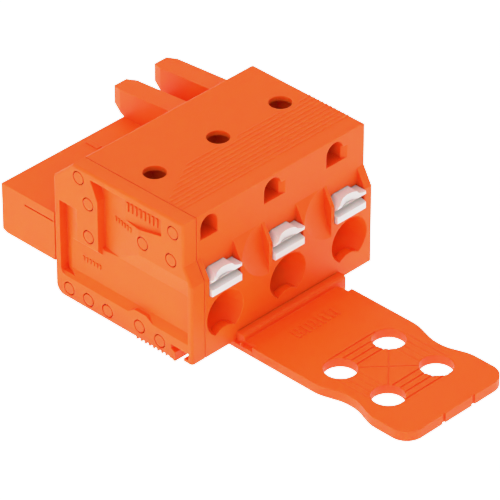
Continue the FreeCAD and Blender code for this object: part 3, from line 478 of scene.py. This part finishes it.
def mesh_object(name: str, shape: bmesh.types.BMesh, material: bpy.types.Material) -> bpy.types.Object:
    """Turn a finished bmesh into an object at the origin with one material.

    Args:
        name: The piece's name.
        shape: The finished bmesh, which is freed.
        material: The finish.

    Returns:
        The linked object.
    """
    bmesh.ops.recalc_face_normals(shape, faces=shape.faces)
    mesh = bpy.data.meshes.new(name)
    shape.to_mesh(mesh)
    shape.free()
    mesh.materials.append(material)
    piece = bpy.data.objects.new(name, mesh)
    bpy.context.scene.collection.objects.link(piece)
    return piece


def paint(frame: dict, node: str, finish: MouldedPlastic | RolledMetal) -> bpy.types.Object:
    """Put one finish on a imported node.

    Args:
        frame: The loaded frame.
        node: The node's name.
        finish: Its finish.

    Returns:
        The node's object.
    """
    piece = frame["nodes"][node]
    material = material_of(finish)
    if piece.material_slots:
        for slot in piece.material_slots:
            slot.material = material
    else:
        piece.data.materials.append(material)
    return piece


@dataclass(frozen=True)
class RaisedBars:
    """A short patch of plain raised bars with eased edges, moulded where a maker would put a mark.

    Its bars lie pitch_mm apart and fall by a slope along the row, so that they follow a sloping floor.
    """

    name: str
    slot: str
    side: Side
    count: int
    pitch_mm: float
    wide_mm: float
    long_mm: float
    rise_mm: float
    sink_mm: float
    fall: float = 0.0
    edge_mm: float = 0.035

    def add_bar(self, shape: bmesh.types.BMesh, offset_mm: float) -> None:
        """Add one bar to the row, which lies along X and rises along Z here.

        Args:
            shape: The bmesh that the bar joins.
            offset_mm: How far the bar stands from the row's middle.
        """
        foot = bmesh.ops.create_grid(shape, x_segments=1, y_segments=1, size=0.5)["verts"]
        bmesh.ops.scale(shape, verts=foot, vec=(self.wide_mm, self.long_mm, 1.0))
        low = -self.sink_mm - self.fall * offset_mm
        bmesh.ops.translate(shape, verts=foot, vec=(offset_mm, 0.0, low))
        grown = bmesh.ops.extrude_face_region(shape, geom=foot[0].link_faces[:])["geom"]
        crown = [item for item in grown if isinstance(item, bmesh.types.BMVert)]
        bmesh.ops.translate(shape, verts=crown, vec=(0.0, 0.0, self.sink_mm + self.rise_mm))
        edges = list(dict.fromkeys(edge for vert in crown for edge in vert.link_edges))
        bmesh.ops.bevel(
            shape,
            geom=edges,
            offset=self.edge_mm,
            offset_type="OFFSET",
            affect="EDGES",
            segments=2,
            profile=0.5,
            material=-1,
        )

    def build(self, middle: Vector, material: bpy.types.Material) -> bpy.types.Object:
        """Make the row as one piece that rides with the connector.

        Args:
            middle: The row's middle on the face it stands on, in metres.
            material: Its finish.

        Returns:
            The finished piece.
        """
        shape = bmesh.new()
        for number in range(self.count):
            self.add_bar(shape, (number - (self.count - 1) / 2) * self.pitch_mm)
        bmesh.ops.scale(shape, verts=shape.verts, vec=(MM, MM, MM))
        turn = Matrix(self.side.value).transposed().to_4x4()
        bmesh.ops.transform(shape, verts=shape.verts, matrix=Matrix.Translation(middle) @ turn)
        piece = mesh_object(self.name, shape, material)
        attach(piece, CONNECTOR_BODY)
        return piece


@dataclass
class Housing:
    """The three poles' one-piece moulding."""

    finish: MouldedPlastic = HOUSING_PLASTIC

    def build(self, frame: dict) -> list[bpy.types.Object]:
        """Dress the housing."""
        return [paint(frame, "housing", self.finish)]


@dataclass
class EndPlate:
    """The plate on the left end, with plain bars in its sunk fields.

    Each place runs from the plate's outer, front, lower corner: how deep the field's floor lies, how
    far back the bars are and how high.
    """

    finish: MouldedPlastic = END_PLATE_PLASTIC
    panel_place_mm: Vector = field(default_factory=lambda: Vector((0.32, 6.1, 12.95)))
    row_place_mm: Vector = field(default_factory=lambda: Vector((0.37, 8.5, 10.85)))
    rear_place_mm: Vector = field(default_factory=lambda: Vector((0.5, 12.55, 4.9)))
    panel_bars: RaisedBars = RaisedBars(
        name="end_plate_panel_bars",
        slot="orange_end_plate",
        side=Side.LEFT,
        count=8,
        pitch_mm=0.5,
        wide_mm=0.24,
        long_mm=0.9,
        rise_mm=0.12,
        sink_mm=0.1,
    )
    row_bars: RaisedBars = RaisedBars(
        name="end_plate_row_bars",
        slot="orange_end_plate",
        side=Side.LEFT,
        count=6,
        pitch_mm=0.42,
        wide_mm=0.2,
        long_mm=0.5,
        rise_mm=0.1,
        sink_mm=0.12,
        fall=-0.17,
    )
    rear_bars: RaisedBars = RaisedBars(
        name="end_plate_rear_bars",
        slot="orange_end_plate",
        side=Side.LEFT,
        count=6,
        pitch_mm=0.4,
        wide_mm=0.2,
        long_mm=0.46,
        rise_mm=0.09,
        sink_mm=0.08,
    )

    def build(self, frame: dict) -> list[bpy.types.Object]:
        """Dress the plate and add its bars.

        Args:
            frame: The loaded frame.

        Returns:
            The plate and its rows of bars.
        """
        corner = Vector(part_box("end_plate")[0])
        material = material_of(self.finish)
        rows = (
            (self.panel_bars, self.panel_place_mm),
            (self.row_bars, self.row_place_mm),
            (self.rear_bars, self.rear_place_mm),
        )
        pieces = [paint(frame, "end_plate", self.finish)]
        pieces += [bars.build(corner + place_mm * MM, material) for bars, place_mm in rows]
        return pieces


@dataclass
class StrainReliefPlate:
    """The flexible plate with the cable-tie holes, with plain bars on its flat, behind the holes."""

    finish: MouldedPlastic = RELIEF_PLASTIC
    thickness_mm: float = 0.95
    bars_back_mm: float = 5.9
    bars: RaisedBars = RaisedBars(
        name="strain_relief_plate_bars",
        slot="orange_relief",
        side=Side.TOP,
        count=9,
        pitch_mm=0.6,
        wide_mm=0.28,
        long_mm=1.2,
        rise_mm=0.09,
        sink_mm=0.08,
    )

    def build(self, frame: dict) -> list[bpy.types.Object]:
        """Dress the plate and add its bars.

        Args:
            frame: The loaded frame.

        Returns:
            The plate and its row of bars.
        """
        low, high = (Vector(corner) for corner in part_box("strain_relief_plate"))
        middle = Vector(
            ((low.x + high.x) / 2, high.y - self.bars_back_mm * MM, low.z + self.thickness_mm * MM)
        )
        plate = paint(frame, "strain_relief_plate", self.finish)
        return [plate, self.bars.build(middle, material_of(self.finish))]


@dataclass
class Pole:
    """One pole's push-button, clamp spring, current bar and overspring."""

    number: int
    button_finish: MouldedPlastic = BUTTON_PLASTIC
    spring_finish: RolledMetal = SPRING_STRIP
    bar_finish: RolledMetal = TIN_PLATE

    def build(self, frame: dict) -> list[bpy.types.Object]:
        """Dress the pole's four nodes.

        Args:
            frame: The loaded frame.

        Returns:
            The four dressed nodes.
        """
        finishes = {
            "push_button": self.button_finish,
            "clamp_spring": self.spring_finish,
            "contact_bar": self.bar_finish,
            "contact_overspring": self.spring_finish,
        }
        return [paint(frame, f"{kind}_{self.number}", finish) for kind, finish in finishes.items()]


@dataclass(frozen=True)
class SoftBox:
    """One square soft light: where it hangs and its side, in metres, and its output in watts."""

    name: str
    place: tuple[float, float, float]
    size: float
    power: float


SOFT_BOXES = (
    SoftBox("side_softbox", (-0.5, 0.05, 0.35), 0.5, 1.1),
    SoftBox("top_softbox", (0.05, 0.15, 0.6), 0.6, 2.3),
    SoftBox("front_softbox", (-0.36, -0.35, 0.34), 0.4, 0.85),
    SoftBox("rim_softbox", (0.36, 0.47, 0.1), 0.2, 0.1),
)


@dataclass
class Studio:
    """Pale floor, soft lights and the camera."""

    floor_z: float
    floor_half_side: float = 3.0
    floor_colour: str = "#404040"
    floor_roughness: float = 0.9
    surround_strength: float = 0.6
    look_at: Vector = field(default_factory=lambda: Vector((-0.42, 1.3, 5.6)) * MM)
    azimuth_deg: float = -45.65
    elevation_deg: float = 34.46
    distance: float = 420.4 * MM
    focal_length_mm: float = 353.6
    sensor_mm: float = 36.0
    nearest: float = 0.01
    farthest: float = 20.0

    def build(self) -> None:
        """Add everything that isn't part of the object."""
        self.set_tone()
        self.add_floor()
        for box in SOFT_BOXES:
            self.add_light(box)
        self.add_world()
        self.add_camera()

    def set_tone(self) -> None:
        """Film-like tone: straight up to the middle tones, then a long shoulder up to white."""
        view = bpy.context.scene.view_settings
        view.view_transform = "Standard"
        view.use_curve_mapping = True
        tone = view.curve_mapping
        tone.white_level = (WHITE_LEVEL, WHITE_LEVEL, WHITE_LEVEL)
        combined = tone.curves[-1]
        for light, shade in TONE_SHOULDER:
            combined.points.new(light / WHITE_LEVEL, shade)
        tone.update()

    def add_floor(self) -> None:
        """A plain white floor under the part, which glows so that it stays even."""
        shape = bmesh.new()
        bmesh.ops.create_grid(shape, x_segments=1, y_segments=1, size=self.floor_half_side)
        bmesh.ops.translate(shape, verts=shape.verts, vec=(0.0, 0.0, self.floor_z))
        material = bpy.data.materials.new("painted_floor_white")
        material.use_nodes = True
        shader = material.node_tree.nodes["Principled BSDF"]
        shader.inputs["Base Color"].default_value = linear(self.floor_colour)
        shader.inputs["Roughness"].default_value = self.floor_roughness
        shader.inputs["Specular IOR Level"].default_value = 0.0
        shader.inputs["Emission Color"].default_value = linear("#FFFFFF")
        shader.inputs["Emission Strength"].default_value = WHITE_LEVEL
        floor = mesh_object("studio_floor", shape, material)
        floor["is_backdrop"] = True

    def add_light(self, box: SoftBox) -> None:
        """Hang one soft light so that it faces the part.

        Args:
            box: The light.
        """
        data = bpy.data.lights.new(box.name, "AREA")
        data.shape = "SQUARE"
        data.size = box.size
        data.energy = box.power
        lamp = bpy.data.objects.new(box.name, data)
        lamp.location = box.place
        lamp.rotation_euler = (self.look_at - Vector(box.place)).to_track_quat("-Z", "Y").to_euler()
        bpy.context.scene.collection.objects.link(lamp)

    def add_world(self) -> None:
        """Even white surroundings."""
        world = bpy.data.worlds.new("white_cyclorama")
        world.use_nodes = True
        background = world.node_tree.nodes["Background"]
        background.inputs["Color"].default_value = linear("#FFFFFF")
        background.inputs["Strength"].default_value = self.surround_strength
        bpy.context.scene.world = world

    def add_camera(self) -> None:
        """Long lens from the front left, above the part."""
        azimuth = math.radians(self.azimuth_deg)
        elevation = math.radians(self.elevation_deg)
        back = Vector(
            (
                math.sin(azimuth) * math.cos(elevation),
                -math.cos(azimuth) * math.cos(elevation),
                math.sin(elevation),
            )
        )
        data = bpy.data.cameras.new("camera")
        data.lens = self.focal_length_mm
        data.sensor_width = self.sensor_mm
        data.clip_start = self.nearest
        data.clip_end = self.farthest
        camera = bpy.data.objects.new("camera", data)
        camera.location = self.look_at + back * self.distance
        camera.rotation_euler = (-back).to_track_quat("-Z", "Y").to_euler()
        bpy.context.scene.collection.objects.link(camera)
        bpy.context.scene.camera = camera


def main() -> None:
    """Load the frame, build and dress each sub-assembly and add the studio."""
    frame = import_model()
    cad_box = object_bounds()
    parts = [Housing(), EndPlate(), StrainReliefPlate()] + [Pole(number) for number in POLES]
    for part in parts:
        for piece in part.build(frame):
            LOG.info("%s: %s finished", type(part).__name__, piece.name)
    Studio(floor_z=cad_box[0][2]).build()


if __name__ == "__main__":
    logging.basicConfig(level=logging.INFO)
    main()
